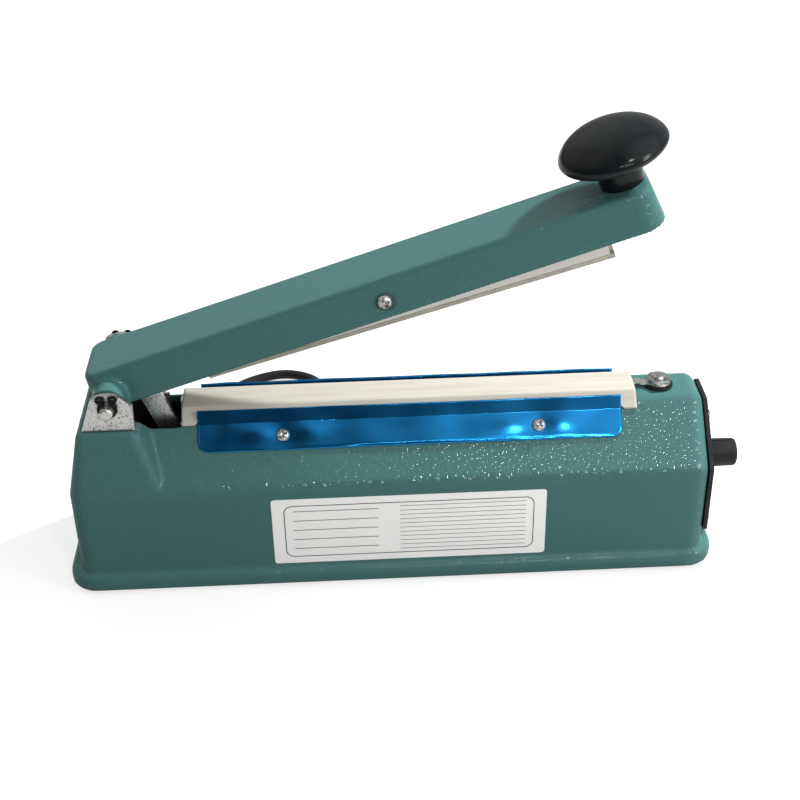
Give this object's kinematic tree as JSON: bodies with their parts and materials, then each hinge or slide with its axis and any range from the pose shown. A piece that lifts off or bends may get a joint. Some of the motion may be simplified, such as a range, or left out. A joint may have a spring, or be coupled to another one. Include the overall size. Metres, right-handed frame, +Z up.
{
  "type": "hand impulse heat sealer",
  "caption": "Counter-top impulse heat sealer with a cast housing, a hinged pressing arm with a round grip, a cloth-covered seal bar, an end timer knob and a mains lead.",
  "frame": {"origin": "on the table under the middle of the object's box, measured without its mains lead", "axes": "+X from the arm's hinge towards the timer, +Y from the labelled front to the back, +Z up from the table"},
  "size_m": [0.319, 0.1913, 0.2117],
  "materials": {
    "green_paint": "hammered green enamel",
    "blue_strip": "bright blue anodised sheet",
    "zinc_steel": "zinc plated",
    "dark_steel": "blackened spring steel",
    "black_gloss": "polished black moulding",
    "black_matte": "satin black moulding",
    "foot_rubber": "soft black rubber",
    "cord_rubber": "black cable sheath",
    "cloth": "coated glass cloth, non-stick",
    "bakelite": "brown insulating board",
    "ribbon": "rolled resistance ribbon",
    "silicone": "grey silicone",
    "bar_metal": "extruded, plain",
    "lamp_red": "clear red lens",
    "label_white": "blank printed film",
    "core_iron": "stacked sheet, oiled",
    "winding_tape": "taped copper winding",
    "board_green": "solder mask",
    "relay_blue": "moulded case",
    "part_grey": "moulded cases",
    "pot_metal": "pressed case",
    "switch_brown": "moulded phenolic",
    "plug_brass": "bright"
  },
  "bodies": {
    "base": {"housing": "green_paint", "base_plate": "zinc_steel", "rubber_feet": "foot_rubber", "foot_screws": "zinc_steel", "hinge_bracket": "zinc_steel", "bracket_screws": "zinc_steel", "hinge_pin": "zinc_steel", "pin_clips": "dark_steel", "seal_bed": "bakelite", "heating_ribbon": "ribbon", "teflon_cloth": "cloth", "front_clamp_strip": "blue_strip", "rear_clamp_strip": "blue_strip", "clamp_screws": "zinc_steel", "terminal_bush": "black_matte", "terminal_stud": "zinc_steel", "terminal_nut": "zinc_steel", "terminal_block": "bakelite", "block_screws": "zinc_steel", "timer_panel": "black_matte", "panel_screws": "zinc_steel", "potentiometer": "pot_metal", "pot_nut": "zinc_steel", "signal_lamp": "lamp_red", "circuit_board": "board_green", "board_standoffs": "zinc_steel", "relay": "relay_blue", "board_components": "part_grey", "transformer_core": "core_iron", "transformer_winding": "winding_tape", "transformer_frame": "zinc_steel", "frame_screws": "zinc_steel", "micro_switch": "switch_brown", "switch_bracket": "zinc_steel", "switch_screws": "zinc_steel", "spring_anchor": "zinc_steel", "return_spring": "dark_steel", "rating_label": "label_white", "cord_gland": "black_matte", "mains_cord": "cord_rubber", "cord_coil": "cord_rubber", "cord_tie": "black_matte", "plug_body": "cord_rubber", "plug_pins": "plug_brass"},
    "arm": {"arm_casting": "green_paint", "lever_strap": "zinc_steel", "strap_screws": "zinc_steel", "grip_knob": "black_gloss", "grip_stud": "zinc_steel", "bar_pivot_screw": "zinc_steel", "bar_pivot_nut": "zinc_steel", "bar_spacers": "zinc_steel"},
    "pressure_bar": {"bar_holder": "bar_metal", "silicone_strip": "silicone"},
    "switch_button": {"switch_button": "black_matte"},
    "timer": {"timer_knob": "black_matte", "pot_shaft": "zinc_steel"}
  },
  "joints": [
    {"name": "arm_hinge", "type": "hinge", "parent": "base", "child": "arm", "pos_m": [-0.1311, 0, 0.0963], "axis": [0, 1, 0], "range_deg": [0, 16.55], "stiffness_Nm_per_rad": 2, "springref_deg": -34.38, "deforming": ["return_spring"]},
    {"name": "pressure_bar_rock", "type": "hinge", "parent": "arm", "child": "pressure_bar", "pos_m": [-0.00801, 0, 0.1383], "axis": [0, 1, 0], "range_deg": [-0.4, 0.4]},
    {"name": "switch_button_slide", "type": "slide", "parent": "base", "child": "switch_button", "axis": [0, 0, -1], "range_m": [0, 0.0031]},
    {"name": "timer_knob_turn", "type": "hinge", "parent": "base", "child": "timer", "pos_m": [0.15, 0, 0.04], "axis": [1, 0, 0], "range_deg": [-135, 135]}
  ],
  "couplings": [
    {"joint": "switch_button_slide", "follows": "arm_hinge", "m_per_rad": 0.0105}
  ]
}
